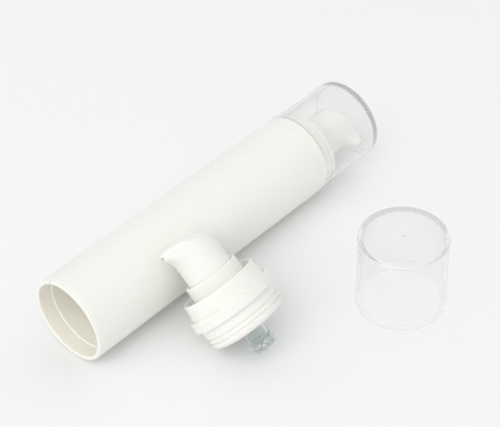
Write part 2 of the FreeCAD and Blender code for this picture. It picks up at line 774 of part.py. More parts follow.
def actuator(label):
    """Press head with a hollow skirt, a hub for the stem and a nozzle passage through its beak."""
    body = new_body(label)
    head = domed_top(body, label, drawn_head(body, label))
    below = head_bottom - d.head_wall
    skirt_low = d.head_base_radius - d.head_wall
    skirt_high = d.head_top_radius - d.head_wall
    shoulder = hub_radius + d.hub_shoulder
    hollow = turn(body, outline(body, f"{label}_hollow_outline", "XZ_Plane", [
        (hub_radius, below), (skirt_low, below), (skirt_high, cavity_top), (shoulder, cavity_top),
        (shoulder, spring_top), (hub_radius, spring_top)]), f"{label}_hollow", "PartDesign::Groove")
    cut_checked(hollow, head.Shape.Volume)
    socket = turn(body, outline(body, f"{label}_socket_outline", "XZ_Plane", [
        (0, below), (socket_radius, below), (socket_radius, socket_top), (d.nozzle_radius, socket_top),
        (d.nozzle_radius, nozzle_start), (0, nozzle_start)]), f"{label}_socket", "PartDesign::Groove")
    cut_checked(socket, hollow.Shape.Volume)
    run = d.beak_reach + d.head_wall
    climb = d.nozzle_rise * run / d.beak_reach
    length = square_root(run * run + climb * climb)
    side = -d.nozzle_radius * climb / length
    up = d.nozzle_radius * run / length
    nozzle = turn(body, outline(body, f"{label}_nozzle_outline", "XZ_Plane", [
        (0, nozzle_start), (run, nozzle_start + climb), (run + side, nozzle_start + climb + up),
        (side, nozzle_start + up)]), f"{label}_nozzle", "PartDesign::Groove", "Edge1")
    cut_checked(nozzle, socket.Shape.Volume)
    return body


def placement(origin, axis, side):
    """The place that takes local Z to axis and local X to side."""
    axis = FreeCAD.Vector(axis).normalize()
    across = axis.cross(side).normalize()
    return FreeCAD.Placement(origin, FreeCAD.Rotation(across.cross(axis), across, axis, "ZXY"))


def rolled(place, degrees):
    """A place turned about its own local Z."""
    return place * FreeCAD.Placement(FreeCAD.Vector(), FreeCAD.Rotation(FreeCAD.Vector(0, 0, 1), degrees))


def raised(place, height):
    """A place moved along its own local Z."""
    return place * FreeCAD.Placement(FreeCAD.Vector(0, 0, height), FreeCAD.Rotation())


def lying_bottle():
    """Place of the bottle's open end, with local X towards the vent notch."""
    total = (d.bottle_length + d.flange_height + cap_height).value
    origin = FreeCAD.Vector(-total / 2, d.spare_cap_offset.value / 2, d.bottle_radius.value)
    turn_up = math.radians(d.vent_angle.value)
    return placement(origin, (1, 0, 0), FreeCAD.Vector(0, math.cos(turn_up), math.sin(turn_up)))


def fitted_pump(bottle):
    """Place of the pump on the bottle's neck, with local X along the beak."""
    origin = raised(bottle, d.bottle_length.value).Base
    dip = math.radians(d.fitted_beak_dip.value)
    return placement(origin, (1, 0, 0), FreeCAD.Vector(0, -math.cos(dip), -math.sin(dip)))


def leaning_pump(bottle):
    """First place of the second pump: plug rim and inlet foot on the floor, head near the bottle."""
    plug_height = (d.plug_rounding - d.plug_depth).value
    plug_out = (plug_radius - d.plug_rounding).value
    foot_height = (tip + d.inlet_rounding).value
    foot_out = (d.inlet_radius - d.inlet_rounding).value
    along = plug_height - foot_height
    out = plug_out - foot_out
    less_round = (d.inlet_rounding - d.plug_rounding).value
    tilt = math.acos(less_round / math.hypot(along, out)) - math.atan2(along, out)
    height = plug_out * math.cos(tilt) + d.plug_rounding.value - plug_height * math.sin(tilt)
    heading = math.radians(d.spare_pump_heading.value)
    flat = math.cos(tilt)
    axis = FreeCAD.Vector(flat * math.cos(heading), flat * math.sin(heading), math.sin(tilt))
    apart = (d.bottle_radius + d.head_base_radius + d.lean_clearance).value * math.hypot(axis.y, axis.z)
    offset = ((height - bottle.Base.z) * axis.y - apart) / axis.z
    origin = FreeCAD.Vector(bottle.Base.x + d.spare_pump_station.value, bottle.Base.y + offset, height)
    return placement(origin, axis, FreeCAD.Vector(-math.sin(heading), math.cos(heading), 0))


def lean_on(wall, pieces):
    """Slide the pieces level towards the wall until the least gap is the lean clearance."""
    for _ in range(LEAN_STEPS):
        gap = min(piece.Shape.distToShape(wall.Shape)[0] for piece in pieces)
        step = FreeCAD.Vector(0, gap - d.lean_clearance.value, 0)
        for piece in pieces:
            moved = piece.Placement
            moved.Base = moved.Base + step
            piece.Placement = moved


def standing_cap(bottle):
    """Place of the second overcap, mouth down on the floor."""
    origin = FreeCAD.Vector(bottle.Base.x + d.spare_cap_station.value,
                            bottle.Base.y - d.spare_cap_offset.value, 0)
    return placement(origin, (0, 0, 1), FreeCAD.Vector(1, 0, 0))


def pump(prefix, place):
    """All the pieces of one pump, at one place."""
    builders = (pump_seat, gasket, chamber, inlet_seat, lock_ring, stem, pump_piston, valve_pin,
                return_spring, actuator)
    pieces = []
    for builder in builders:
        piece = builder(prefix + builder.__name__)
        piece.Placement = place
        pieces.append(piece)
    ring = collar(prefix + "collar")
    ring.Placement = rolled(place, d.bead_angle.value)
    ball = inlet_ball(prefix + "inlet_ball")
    ball.Placement = raised(place, ball_height())
    return pieces + [ring, ball]


def check(pieces):
    """Stop if any object failed or any piece is not one good solid."""
    for item in doc.Objects:
        if "Invalid" in item.State or "Error" in item.State:
            raise RuntimeError(f"{item.Label} failed: {item.State}")
    for piece in pieces:
        shape = piece.Shape
        if shape.isNull() or not shape.isValid() or len(shape.Solids) != 1:
            raise RuntimeError(f"{piece.Label} is not one valid solid")


def main():
    """Build every piece, check it and write it out."""
    bottle = lying_bottle()
    tube = bottle_tube("bottle_tube")
    tube.Placement = bottle
    follower = follower_piston("follower_piston")
    follower.Placement = raised(bottle, d.follower_station.value)
    cap = overcap("overcap")
    cap.Placement = raised(bottle, (d.bottle_length + d.flange_height).value)
    spare_cap = overcap("spare_overcap")
    spare_cap.Placement = standing_cap(bottle)
    pieces = [tube, follower, cap, spare_cap]
    pieces += pump("", fitted_pump(bottle))
    spare_pump = pump("spare_", leaning_pump(bottle))
    doc.recompute()
    lean_on(tube, spare_pump)
    pieces += spare_pump
    check(pieces)
    os.makedirs("parts", exist_ok=True)
    for piece in pieces:
        piece.Shape.exportStep(f"parts/{piece.Label}.step")
    print(f"{len(pieces)} pieces written")


main()
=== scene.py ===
"""Looks, studio and camera for a slender airless pump bottle with a loose pump and a loose overcap."""

import json
import logging
import math
from dataclasses import dataclass, field
from enum import Enum
from functools import cache
from typing import Callable, Iterator, Optional, Sequence

import bmesh
import bpy
from mathutils import Matrix, Vector


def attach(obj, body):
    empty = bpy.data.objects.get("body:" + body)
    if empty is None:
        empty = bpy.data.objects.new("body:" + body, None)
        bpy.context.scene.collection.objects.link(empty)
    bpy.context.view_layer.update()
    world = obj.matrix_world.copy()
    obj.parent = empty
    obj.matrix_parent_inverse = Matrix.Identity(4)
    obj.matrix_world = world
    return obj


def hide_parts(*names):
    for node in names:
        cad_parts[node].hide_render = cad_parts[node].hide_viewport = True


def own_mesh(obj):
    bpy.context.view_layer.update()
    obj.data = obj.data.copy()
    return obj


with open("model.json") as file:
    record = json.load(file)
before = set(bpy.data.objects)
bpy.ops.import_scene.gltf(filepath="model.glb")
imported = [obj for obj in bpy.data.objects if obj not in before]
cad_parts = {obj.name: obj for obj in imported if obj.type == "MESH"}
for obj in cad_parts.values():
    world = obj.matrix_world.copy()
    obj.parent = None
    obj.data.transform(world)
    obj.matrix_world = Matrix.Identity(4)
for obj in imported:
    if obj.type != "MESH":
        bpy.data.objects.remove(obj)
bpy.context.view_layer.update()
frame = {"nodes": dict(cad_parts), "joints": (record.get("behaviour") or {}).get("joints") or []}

MM = 0.001
SHARP_ANGLE = math.radians(34.0)
MERGE_DISTANCE = 1e-7

# Columns round a turned piece, and the angle over which a sector's side wall rises
COLUMNS = 288
SECTOR_WALL = 0.02

# Roundings of turned edges, in millimetres
HAIR = 0.06
CRISP = 0.08
FINE = 0.1
SLIM = 0.12
SLIGHT = 0.15
RING = 0.25
EDGE = 0.3
FILLET = 0.4
SOFT = 0.45
INNER = 0.8

Triple = tuple[float, float, float]
Socket = bpy.types.NodeSocket

log = logging.getLogger("airless_pump_bottle")


class Seating(Enum):
    """Where one of the two pumps or overcaps is."""

    FITTED = ""
    LOOSE = "spare_"


class Slot(Enum):
    """Material slots of the record."""

    BOTTLE = "bottle_white"
    PUMP = "pump_white"
    PISTON = "piston_white"
    CAP = "cap_clear"
    CHAMBER = "chamber_clear"
    SEAL = "gasket_soft"
    SPRING = "spring_steel"
    BALL = "ball_steel"


@dataclass(frozen=True)
class Place:
    """Position and directions of a sub-assembly, in millimetres.

    Attributes:
        origin: Where local zero lies.
        axis: Direction of local Z.
        side: Direction of local X.
    """

    origin: Triple
    axis: Triple
    side: Triple

    def matrix(self, roll: float = 0.0) -> Matrix:
        """World matrix of the place.

        Args:
            roll: Turn about local Z, in degrees.

        Returns:
            The matrix, in metres.
        """
        axis = Vector(self.axis).normalized()
        across = axis.cross(Vector(self.side)).normalized()
        side = across.cross(axis)
        turn = Matrix((side, across, axis)).transposed().to_4x4()
        shift = Matrix.Translation(Vector(self.origin) * MM)
        return shift @ turn @ Matrix.Rotation(math.radians(roll), 4, "Z")

    def along(self, distance: float, side: Triple) -> "Place":
        """A place further along the same axis, with a side of its own."""
        origin = tuple(spot + distance * way for spot, way in zip(self.origin, self.axis))
        return Place(origin, self.axis, side)


def heading(azimuth: float, climb: float = 0.0) -> Triple:
    """Direction from two angles.

    Args:
        azimuth: Angle about Z, in degrees.
        climb: Angle over the floor, in degrees.

    Returns:
        The unit direction.
    """
    flat = math.cos(math.radians(climb))
    turn = math.radians(azimuth)
    return (flat * math.cos(turn), flat * math.sin(turn), math.sin(math.radians(climb)))


@dataclass(frozen=True)
class Corner:
    """One corner of a turned outline, in millimetres."""

    radius: float
    height: float
    rounding: float = 0.0


@dataclass(frozen=True)
class Sector:
    """A stretch of a turned piece, in degrees, whose outline points are moved."""

    start: float
    end: float
    move: Callable[[float, float], tuple[float, float]]


class TurnedOutline:
    """A closed outline of corners that is turned about local Z.

    Attributes:
        STEP: Most angle between two points of a rounding.
        SUPPORT: How far a support point is from the end of a straight run, in millimetres.
        SHARE: Share of a straight run that a rounding may always take.
        AXIS: Radius up to which a point counts as on the axis.
    """

    STEP = math.radians(14.0)
    SUPPORT = 0.12
    SHARE = 0.46
    AXIS = 1e-6

    def __init__(self, corners: Sequence[Corner]) -> None:
        """Keep the corners in order round the section."""
        self.corners = list(corners)

    def _rounded(self, index: int) -> list[tuple[float, float]]:
        """Points of one corner.

        Args:
            index: Number of the corner.

        Returns:
            The corner itself, or an arc in its place.
        """
        here = self.corners[index]
        before = self.corners[index - 1]
        after = self.corners[(index + 1) % len(self.corners)]
        spot = Vector((here.radius, here.height))
        if here.rounding <= 0.0:
            return [tuple(spot)]
        back = Vector((before.radius, before.height)) - spot
        ahead = Vector((after.radius, after.height)) - spot
        turn = math.pi - back.angle(ahead)
        reach = min(here.rounding * math.tan(turn / 2),
                    max(self.SHARE * back.length, back.length - before.rounding),
                    max(self.SHARE * ahead.length, ahead.length - after.rounding))
        radius = reach / math.tan(turn / 2)
        inward = (back.normalized() + ahead.normalized()).normalized()
        centre = spot + inward * math.hypot(radius, reach)
        first = spot + back.normalized() * reach - centre
        last = spot + ahead.normalized() * reach - centre
        steps = max(2, math.ceil(turn / self.STEP))
        ways = (first.slerp(last, number / steps) for number in range(steps + 1))
        return [tuple(centre + way.normalized() * radius) for way in ways]

    def points(self) -> list[tuple[float, float]]:
        """Round the corners and add a support point near each end of a straight run.

        Returns:
            The outline's points in order.
        """
        arcs = [self._rounded(index) for index in range(len(self.corners))]
        points: list[tuple[float, float]] = []
        for arc, following in zip(arcs, arcs[1:] + arcs[:1]):
            points.extend(arc)
            start = Vector(arc[-1])
            run = Vector(following[0]) - start
            if run.length > 5 * self.SUPPORT and max(start.x, following[0][0]) > self.AXIS:
                near = run.normalized() * self.SUPPORT
                points.append(tuple(start + near))
                points.append(tuple(start + run - near))
        return points


def finished_mesh(name: str, bench: bmesh.types.BMesh) -> bpy.types.Mesh:
    """Close a bench mesh into a smooth-shaded mesh.

    Args:
        name: Name of the mesh.
        bench: The mesh under work; it is freed.

    Returns:
        The finished mesh.
    """
    bmesh.ops.remove_doubles(bench, verts=bench.verts, dist=MERGE_DISTANCE)
    bmesh.ops.dissolve_degenerate(bench, edges=bench.edges, dist=MERGE_DISTANCE)
    bare = [edge for edge in bench.edges if not edge.link_faces]
    bmesh.ops.delete(bench, geom=bare, context="EDGES")
    bmesh.ops.recalc_face_normals(bench, faces=bench.faces)
    mesh = bpy.data.meshes.new(name)
    bench.to_mesh(mesh)
    bench.free()
    for polygon in mesh.polygons:
        polygon.use_smooth = True
    mesh.set_sharp_from_angle(angle=SHARP_ANGLE)
    return mesh


def turned_mesh(name: str, outline: TurnedOutline, sectors: Sequence[Sector] = ()) -> bpy.types.Mesh:
    """Turn an outline about Z.

    Args:
        name: Name of the mesh.
        outline: The section.
        sectors: Stretches with a different section.

    Returns:
        The turned mesh, in metres.
    """
    stations: list[tuple[float, Optional[Sector]]] = []
    for number in range(COLUMNS):
        angle = 360.0 * number / COLUMNS
        held = next((s for s in sectors if s.start <= angle <= s.end), None)
        stations.append((angle, held))
    for sector in sectors:
        stations += [(sector.start - SECTOR_WALL, None), (sector.start, sector),
                     (sector.end, sector), (sector.end + SECTOR_WALL, None)]
    stations.sort(key=lambda item: item[0])
    points = outline.points()
    bench = bmesh.new()
    rows = []
    for angle, sector in stations:
        turn = math.radians(angle)
        row = []
        for radius, height in points:
            if sector is not None:
                radius, height = sector.move(radius, height)
            spot = Vector((radius * math.cos(turn), radius * math.sin(turn), height)) * MM
            row.append(bench.verts.new(spot))
        rows.append(row)
    for row, following in zip(rows, rows[1:] + rows[:1]):
        for index in range(len(points)):
            after = (index + 1) % len(points)
            bench.faces.new((row[index], following[index], following[after], row[after]))
    return finished_mesh(name, bench)


class NodeBench:
    """Lays nodes into one shader tree and links them."""

    def __init__(self, tree: bpy.types.NodeTree) -> None:
        """Start on an emptied tree."""
        self.tree = tree
        tree.nodes.clear()

    def add(self, kind: str, inputs: Optional[dict] = None, **settings: object) -> bpy.types.Node:
        """Add a node.

        Args:
            kind: Blender's node type.
            inputs: Values or sources by socket name or number.
            settings: Properties of the node.

        Returns:
            The node.
        """
        node = self.tree.nodes.new(kind)
        for name, value in settings.items():
            setattr(node, name, value)
        for key, value in (inputs or {}).items():
            self.feed(node.inputs[key], value)
        return node

    def feed(self, socket: Socket, value: object) -> None:
        """Link a source to a socket, or set the socket's value.

        Args:
            socket: The socket that is fed.
            value: A source socket or a plain value.
        """
        if isinstance(value, Socket):
            self.tree.links.new(value, socket)
        else:
            socket.default_value = value

    def math(self, work: str, *values: object) -> Socket:
        """Result of one math node."""
        return self.add("ShaderNodeMath", dict(enumerate(values)), operation=work).outputs[0]

    def noise(self, place: object, scale: object, detail: float,
              roughness: float = 0.5) -> Socket:
        """Value of a noise texture at a place."""
        return self.add("ShaderNodeTexNoise", {"Vector": place, "Scale": scale, "Detail": detail,
                                               "Roughness": roughness}).outputs[0]

    def ranged(self, value: object, low: float, high: float, new_low: object = 0.0,
               new_high: object = 1.0) -> Socket:
        """Map a value smoothly from one range to another.

        Args:
            value: The value.
            low: Where the first range starts.
            high: Where it ends.
            new_low: Result at the start.
            new_high: Result at the end.

        Returns:
            The mapped value.
        """
        node = self.add("ShaderNodeMapRange", {"Value": value, "From Min": low, "From Max": high,
                                               "To Min": new_low, "To Max": new_high},
                        interpolation_type="SMOOTHSTEP")
        return node.outputs[0]

    def mixed(self, share: object, first: object, second: object) -> Socket:
        """Colour between two colours."""
        node = self.add("ShaderNodeMix", {0: share, 6: first, 7: second}, data_type="RGBA")
        return node.outputs[2]


class SharedEffect:
    """A shader node group that several finishes place with their own values."""

    name = "effect"
    inputs: tuple[tuple[str, str, object], ...] = ()
    outputs: tuple[tuple[str, str], ...] = ()

    def group(self) -> bpy.types.NodeTree:
        """Make the node group at its first use.

        Returns:
            The group's tree.
        """
        found = bpy.data.node_groups.get(self.name)
        if found is not None:
            return found
        tree = bpy.data.node_groups.new(self.name, "ShaderNodeTree")
        for label, kind, value in self.inputs:
            socket = tree.interface.new_socket(label, in_out="INPUT", socket_type=kind)
            socket.default_value = value
        for label, kind in self.outputs:
            tree.interface.new_socket(label, in_out="OUTPUT", socket_type=kind)
        bench = NodeBench(tree)
        source = bench.add("NodeGroupInput")
        target = bench.add("NodeGroupOutput")
        for label, socket in self.lay(bench, source).items():
            tree.links.new(socket, target.inputs[label])
        return tree

    def lay(self, bench: NodeBench, source: bpy.types.Node) -> dict[str, Socket]:
        """Lay the effect's nodes and return its outputs by name."""
        raise NotImplementedError

    def placed(self, bench: NodeBench, **values: object) -> bpy.types.Node:
        """Place the group in a material.

        Args:
            bench: The material's bench.
            values: Input values, with underscores for blanks.

        Returns:
            The group node.
        """
        node = bench.add("ShaderNodeGroup", node_tree=self.group())
        for label, value in values.items():
            bench.feed(node.inputs[label.replace("_", " ")], value)
        return node


class MouldedSkin(SharedEffect):
    """The skin that a mould leaves on plastic: slow clouds of tint and gloss over a fine grain."""

    name = "moulded_skin"
    inputs = (("Cloud Scale", "NodeSocketFloat", 60.0), ("Grain Scale", "NodeSocketFloat", 4000.0),
              ("Smooth", "NodeSocketFloat", 0.3), ("Rough", "NodeSocketFloat", 0.4),
              ("Light Tint", "NodeSocketColor", (0.9, 0.9, 0.9, 1.0)),
              ("Deep Tint", "NodeSocketColor", (0.8, 0.8, 0.8, 1.0)))
    outputs = (("Color", "NodeSocketColor"), ("Roughness", "NodeSocketFloat"),
               ("Height", "NodeSocketFloat"))
    GRAIN_SHARE = 0.35

    def lay(self, bench: NodeBench, source: bpy.types.Node) -> dict[str, Socket]:
        """Lay clouds and grain.

        Args:
            bench: The group's bench.
            source: The group's input node.

        Returns:
            Tint, roughness and grain height.
        """
        place = bench.add("ShaderNodeTexCoord").outputs["Object"]
        cloud = bench.noise(place, source.outputs["Cloud Scale"], 4.0, 0.55)
        grain = bench.noise(place, source.outputs["Grain Scale"], 2.0, 0.6)
        share = bench.ranged(cloud, 0.3, 0.7)
        clouded = bench.math("MULTIPLY", share, 1.0 - self.GRAIN_SHARE)
        worn = bench.math("MULTIPLY_ADD", grain, self.GRAIN_SHARE, clouded)
        rough = bench.ranged(worn, 0.0, 1.0, source.outputs["Smooth"], source.outputs["Rough"])
        tint = bench.mixed(share, source.outputs["Light Tint"], source.outputs["Deep Tint"])
        return {"Color": tint, "Roughness": rough, "Height": grain}


class HandlingScuffs(SharedEffect):
    """Thin, sparse rub marks from packing and handling."""

    name = "handling_scuffs"
    inputs = (("Scale", "NodeSocketFloat", 140.0), ("Sparse", "NodeSocketFloat", 0.55))
    outputs = (("Mask", "NodeSocketFloat"),)
    SETS = ((0.5, (1.0, 18.0, 1.0)), (2.1, (16.0, 1.0, 1.0)))
    LINE_WIDTH = 0.012
    PATCH_SCALE = 55.0

    def lay(self, bench: NodeBench, source: bpy.types.Node) -> dict[str, Socket]:
        """Lay two crossing sets of fine lines, kept only in patches.

        Args:
            bench: The group's bench.
            source: The group's input node.

        Returns:
            The mask of the marks.
        """
        place = bench.add("ShaderNodeTexCoord").outputs["Object"]
        lines = []
        for turn, stretch in self.SETS:
            bent = bench.add("ShaderNodeMapping", {"Vector": place, "Rotation": (turn, 0.4 * turn, turn),
                                                   "Scale": stretch}).outputs[0]
            noise = bench.noise(bent, source.outputs["Scale"], 1.0)
            off = bench.math("ABSOLUTE", bench.math("SUBTRACT", noise, 0.5))
            lines.append(bench.ranged(off, 0.0, self.LINE_WIDTH, 1.0, 0.0))
        patch = bench.noise(place, self.PATCH_SCALE, 2.0)
        kept = bench.math("GREATER_THAN", patch, source.outputs["Sparse"])
        return {"Mask": bench.math("MULTIPLY", bench.math("MAXIMUM", *lines), kept)}


SKIN = MouldedSkin()
SCUFFS = HandlingScuffs()


def opaque(colour: Triple) -> tuple[float, float, float, float]:
    """A colour with full alpha."""
    return (*colour, 1.0)


@dataclass(frozen=True)
class Finish:
    """A material with a moulded skin.

    Attributes:
        name: Name of the material.
        light: Colour of the skin.
        deep: Colour of its slow clouds.
        smooth: Least roughness.
        rough: Most roughness.
    """

    name: str
    light: Triple
    deep: Triple
    smooth: float
    rough: float

    def material(self) -> bpy.types.Material:
        """Build the material.

        Returns:
            The new material.
        """
        material = bpy.data.materials.new(self.name)
        material.use_nodes = True
        bench = NodeBench(material.node_tree)
        bench.add("ShaderNodeOutputMaterial", {"Surface": self.shader(bench)})
        return material

    def skin(self, bench: NodeBench, cloud: float, grain: float) -> bpy.types.Node:
        """Place the moulded skin with clouds and grain of the given scales."""
        return SKIN.placed(bench, Cloud_Scale=cloud, Grain_Scale=grain, Smooth=self.smooth,
                           Rough=self.rough, Light_Tint=opaque(self.light), Deep_Tint=opaque(self.deep))

    def shader(self, bench: NodeBench) -> Socket:
        """Lay the finish's nodes and return its surface."""
        raise NotImplementedError


@dataclass(frozen=True)
class SatinPolypropylene(Finish):
    """White moulded polypropylene with a satin skin, with painted yellowish bounce light and shade in the
    depth of a bore.

    Attributes:
        painted_bore_bounce: Colour painted in the depth of a bore for its yellowish bounce light and shade.
        bore: Radius in millimetres under which the painted bounce light is laid, or 0 for none.
        blend: How far outside that radius the painted bounce light begins, in millimetres.
        glow: Share of light that goes under the skin.
        reach: How far that light goes, in millimetres.
    """

    painted_bore_bounce: Triple = (0.975, 0.95, 0.86)
    bore: float = 0.0
    blend: float = 0.5
    glow: float = 0.2
    reach: float = 0.6

    def shader(self, bench: NodeBench) -> Socket:
        """Lay a scuffed, grained skin over a little glow.

        Args:
            bench: The material's bench.

        Returns:
            The surface.
        """
        skin = self.skin(bench, 45.0, 5200.0)
        scuffs = SCUFFS.placed(bench, Scale=120.0, Sparse=0.58)
        colour = skin.outputs["Color"]
        # Painted shade and bounce light: a yellowish colour laid on surfaces below the bore's radius, in
        # place of light bounced inside the barrel
        if self.bore > 0.0:
            place = bench.add("ShaderNodeTexCoord").outputs["Object"]
            flat = bench.add("ShaderNodeVectorMath", {0: place, 1: (1.0, 1.0, 0.0)}, operation="MULTIPLY")
            span = bench.add("ShaderNodeVectorMath", {0: flat.outputs[0]}, operation="LENGTH")
            inside = bench.ranged(span.outputs["Value"], self.bore * MM, (self.bore + self.blend) * MM,
                                  1.0, 0.0)
            colour = bench.mixed(inside, colour, opaque(self.painted_bore_bounce))
        rough = bench.math("MULTIPLY_ADD", scuffs.outputs["Mask"], 0.10, skin.outputs["Roughness"])
        bump = bench.add("ShaderNodeBump", {"Strength": 0.04, "Distance": 0.04 * MM,
                                            "Height": skin.outputs["Height"]})
        return bench.add("ShaderNodeBsdfPrincipled", {
            "Base Color": colour, "Roughness": rough, "Normal": bump.outputs[0], "IOR": 1.49,
            "Subsurface Weight": self.glow, "Subsurface Radius": (1.0, 0.9, 0.7),
            "Subsurface Scale": self.reach * MM}).outputs[0]


@dataclass(frozen=True)
class ClearPlastic(Finish):
    """See-through moulded plastic, from nearly clear to cloudy.

    Attributes:
        shade: Colour of the light that a shadow ray keeps.
        trapped_ring_shade: Colour of the light that is let out of a wall, greyed to paint the shade of the
            edge ring where light is caught in the wall.
        density: Index of refraction.
        depth: Passes after which light caught in a wall is let out.
    """

    shade: Triple = (1.0, 1.0, 1.0)
    trapped_ring_shade: Triple = (1.0, 1.0, 1.0)
    density: float = 1.5
    depth: float = 3.5

    def shader(self, bench: NodeBench) -> Socket:
        """Lay a refracting wall that shadow rays pass straight through, as they nearly do in a thin one.

        Args:
            bench: The material's bench.

        Returns:
            The surface.
        """
        skin = self.skin(bench, 70.0, 2600.0)
        wall = bench.add("ShaderNodeBsdfPrincipled", {
            "Base Color": skin.outputs["Color"], "Roughness": skin.outputs["Roughness"],
            "IOR": self.density, "Transmission Weight": 1.0})
        path = bench.add("ShaderNodeLightPath")
        past = bench.math("MAXIMUM", path.outputs["Is Shadow Ray"], path.outputs["Is Diffuse Ray"])
        held = bench.math("GREATER_THAN", path.outputs["Ray Depth"], self.depth)
        again = bench.math("GREATER_THAN", path.outputs["Transparent Depth"], 0.5)
        # Painted shade: light let out of a wall after being caught in it takes a grey colour, which paints
        # the grey edge ring
        pale = bench.mixed(again, opaque(self.trapped_ring_shade), (1.0, 1.0, 1.0, 1.0))
        let_out = bench.add("ShaderNodeBsdfTransparent", {"Color": pale})
        straight = bench.add("ShaderNodeBsdfTransparent", {"Color": opaque(self.shade)})
        seen = bench.add("ShaderNodeMixShader", {0: held, 1: wall.outputs[0], 2: let_out.outputs[0]})
        mixed = bench.add("ShaderNodeMixShader", {0: past, 1: seen.outputs[0], 2: straight.outputs[0]})
        return mixed.outputs[0]


class SoftSeal(Finish):
    """Foamed white elastomer of the gasket."""

    def shader(self, bench: NodeBench) -> Socket:
        """Lay a dull, grained skin.

        Args:
            bench: The material's bench.

        Returns:
            The surface.
        """
        skin = self.skin(bench, 220.0, 2600.0)
        bump = bench.add("ShaderNodeBump", {"Strength": 0.3, "Distance": 0.08 * MM,
                                            "Height": skin.outputs["Height"]})
        return bench.add("ShaderNodeBsdfPrincipled", {
            "Base Color": skin.outputs["Color"], "Roughness": skin.outputs["Roughness"],
            "Normal": bump.outputs[0], "IOR": 1.5}).outputs[0]


class StainlessSteel(Finish):
    """Drawn or ground stainless steel of the springs and balls."""

    def shader(self, bench: NodeBench) -> Socket:
        """Lay scuffed metal.

        Args:
            bench: The material's bench.

        Returns:
            The surface.
        """
        skin = self.skin(bench, 320.0, 5200.0)
        scuffs = SCUFFS.placed(bench, Scale=420.0, Sparse=0.45)
        rough = bench.math("MULTIPLY_ADD", scuffs.outputs["Mask"], 0.15, skin.outputs["Roughness"])
        return bench.add("ShaderNodeBsdfPrincipled", {
            "Base Color": skin.outputs["Color"], "Roughness": rough, "Metallic": 1.0}).outputs[0]


class SeamlessPaper(Finish):
    """Matt white paper that the studio floor is covered with."""

    def shader(self, bench: NodeBench) -> Socket:
        """Lay a matt skin with hardly any shine."""
        skin = self.skin(bench, 6.0, 900.0)
        return bench.add("ShaderNodeBsdfPrincipled", {
            "Base Color": skin.outputs["Color"], "Roughness": skin.outputs["Roughness"],
            "Specular IOR Level": 0.1}).outputs[0]


WHITE_SKIN: Triple = (0.905, 0.908, 0.862)
WHITE_CLOUD: Triple = (0.892, 0.893, 0.842)

PAPER = SeamlessPaper("white_paper", (0.905, 0.905, 0.91), (0.895, 0.895, 0.90), 0.85, 0.95)
FINISHES = {
    # The barrel's finish paints yellowish bounce light and shade inside its bore
    Slot.BOTTLE: SatinPolypropylene("satin_white_barrel", WHITE_SKIN, WHITE_CLOUD, 0.30, 0.42, bore=14.7),
    Slot.PUMP: SatinPolypropylene("satin_white_pump", WHITE_SKIN, WHITE_CLOUD, 0.24, 0.36),
    Slot.PISTON: SatinPolypropylene("soft_white_piston", (0.86, 0.855, 0.80), (0.83, 0.825, 0.76),
                                    0.42, 0.58),
    Slot.CAP: ClearPlastic("clear_cap_styrene", (0.988, 0.988, 0.990), (0.96824, 0.96824, 0.9702),
                           0.0, 0.004, shade=(0.995, 0.995, 0.995), trapped_ring_shade=(0.77, 0.77, 0.78)),
    Slot.CHAMBER: ClearPlastic("cloudy_chamber", (0.91, 0.95, 0.95), (0.8918, 0.931, 0.931),
                               0.10, 0.20, shade=(0.90, 0.93, 0.93), trapped_ring_shade=(0.80, 0.85, 0.85)),
    Slot.SEAL: SoftSeal("foamed_seal", (0.80, 0.80, 0.77), (0.72, 0.72, 0.68), 0.62, 0.82),
    Slot.SPRING: StainlessSteel("drawn_spring_wire", (0.66, 0.66, 0.65), (0.50, 0.50, 0.50), 0.18, 0.36),
    Slot.BALL: StainlessSteel("ground_ball", (0.74, 0.74, 0.73), (0.64, 0.64, 0.64), 0.05, 0.14),
}


def new_object(name: str, data: bpy.types.ID, matrix: Matrix) -> bpy.types.Object:
    """Make an object in the scene.

    Args:
        name: Name of the object.
        data: Its mesh, lamp or camera.
        matrix: Its place, in metres.

    Returns:
        The object.
    """
    made = bpy.data.objects.new(name, data)
    bpy.context.scene.collection.objects.link(made)
    made.matrix_world = matrix
    return made


@cache
def slot_material(slot: Slot) -> bpy.types.Material:
    """The material of a slot, made at its first use."""
    return FINISHES[slot].material()


@dataclass
class SubAssembly:
    """A group of pieces that share one place.

    Attributes:
        place: Where the group lies.
        pieces: Objects built so far, with their slots.
    """

    place: Place
    pieces: list[tuple[bpy.types.Object, Slot]] = field(default_factory=list)

    def seat(self, mesh: bpy.types.Mesh, body: str, node: str, slot: Slot,
             roll: float = 0.0) -> bpy.types.Object:
        """Put a mesh in its place, on its body and in the stead of its node.

        Args:
            mesh: The piece's mesh, in local metres.
            body: Body that it rides on.
            node: Node that it stands for.
            slot: Slot that it takes its finish from.
            roll: Turn about local Z, in degrees.

        Returns:
            The new object.
        """
        piece = new_object(f"{node}_look", mesh, self.place.matrix(roll))
        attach(piece, body)
        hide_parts(node)
        self.pieces.append((piece, slot))
        log.info("%s rides on %s with %d faces", piece.name, body, len(mesh.polygons))
        return piece

    def keep(self, node: str, slot: Slot) -> None:
        """Keep a node's own solid and note its slot."""
        self.pieces.append((frame["nodes"][node], slot))
        log.info("%s keeps its own solid", node)

    def dress(self) -> None:
        """Give every piece its finish."""
        for piece, slot in self.pieces:
            piece.data.materials.clear()
            piece.data.materials.append(slot_material(slot))

    def spots(self) -> Iterator[Vector]:
        """Go through every vertex of the group.

        Returns:
            Their spots, in the frame that all pieces share.
        """
        for piece, _ in self.pieces:
            for vertex in piece.data.vertices:
                yield piece.matrix_world @ vertex.co


